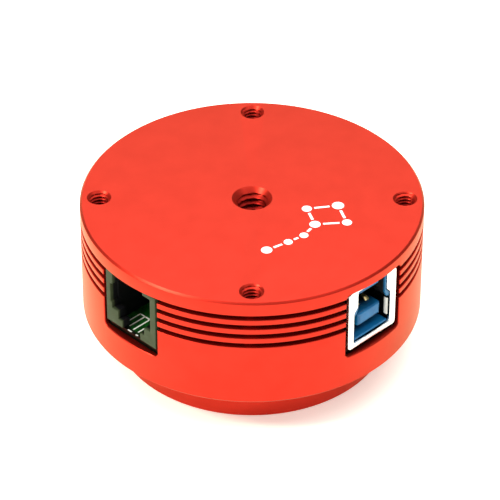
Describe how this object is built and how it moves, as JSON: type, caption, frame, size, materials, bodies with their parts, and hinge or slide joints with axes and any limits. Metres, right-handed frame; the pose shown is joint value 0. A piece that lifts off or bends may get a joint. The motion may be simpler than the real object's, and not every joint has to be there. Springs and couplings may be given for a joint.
{
  "type": "astronomy camera",
  "caption": "Round passively cooled astronomy camera: grooved red aluminium body, threaded front collar, threaded holes in the rear face, and USB and guide sockets in the side.",
  "frame": {"origin": "centre of the front collar's rim, which the camera stands on, on the optical axis", "axes": "+Z along the optical axis towards the rear face, the USB socket faces midway between +X and -Y and the guide socket midway between -X and -Y"},
  "size_m": [0.062, 0.062, 0.0302],
  "materials": {
    "red_anodised": "satin anodised, bead blasted",
    "screw_steel": "plain",
    "socket_steel": "bright nickel plated",
    "contact_gold": "gold plated",
    "pillar_brass": "plain",
    "black_rubber": "matt",
    "chip_black": "moulded",
    "board_green": "solder mask",
    "socket_blue": "moulded",
    "socket_grey": "moulded",
    "ceramic": "fired ceramic",
    "silicon": "polished",
    "clear_glass": "coated and polished",
    "black_metal": "black anodised",
    "capacitor_tan": "moulded"
  },
  "bodies": {
    "root": {"rear_housing": "red_anodised", "front_plate": "red_anodised", "plate_screw_1": "screw_steel", "plate_screw_2": "screw_steel", "plate_screw_3": "screw_steel", "plate_screw_4": "screw_steel", "window_ring": "black_metal", "window_glass": "clear_glass", "window_seal": "black_rubber", "sensor_mask": "black_rubber", "sensor_package": "ceramic", "sensor_die": "silicon", "sensor_cover_glass": "clear_glass", "main_board": "board_green", "standoff_1": "pillar_brass", "standoff_2": "pillar_brass", "standoff_3": "pillar_brass", "standoff_4": "pillar_brass", "board_screw_1": "screw_steel", "board_screw_2": "screw_steel", "board_screw_3": "screw_steel", "board_screw_4": "screw_steel", "frame_processor": "chip_black", "usb_controller": "chip_black", "memory_chip": "chip_black", "flash_chip": "chip_black", "oscillator": "screw_steel", "optocoupler_1": "chip_black", "optocoupler_2": "chip_black", "inductor_1": "black_metal", "inductor_2": "black_metal", "capacitor_1": "capacitor_tan", "capacitor_2": "capacitor_tan", "usb_shell": "socket_steel", "usb_insulator": "socket_blue", "usb_contact_1": "contact_gold", "usb_contact_2": "contact_gold", "usb_contact_3": "contact_gold", "usb_contact_4": "contact_gold", "usb_fast_contact_1": "contact_gold", "usb_fast_contact_2": "contact_gold", "usb_fast_contact_3": "contact_gold", "usb_fast_contact_4": "contact_gold", "usb_fast_contact_5": "contact_gold", "jack_housing": "socket_grey", "jack_contact_1": "contact_gold", "jack_contact_2": "contact_gold", "jack_contact_3": "contact_gold", "jack_contact_4": "contact_gold", "jack_contact_5": "contact_gold", "jack_contact_6": "contact_gold"}
  },
  "joints": []
}
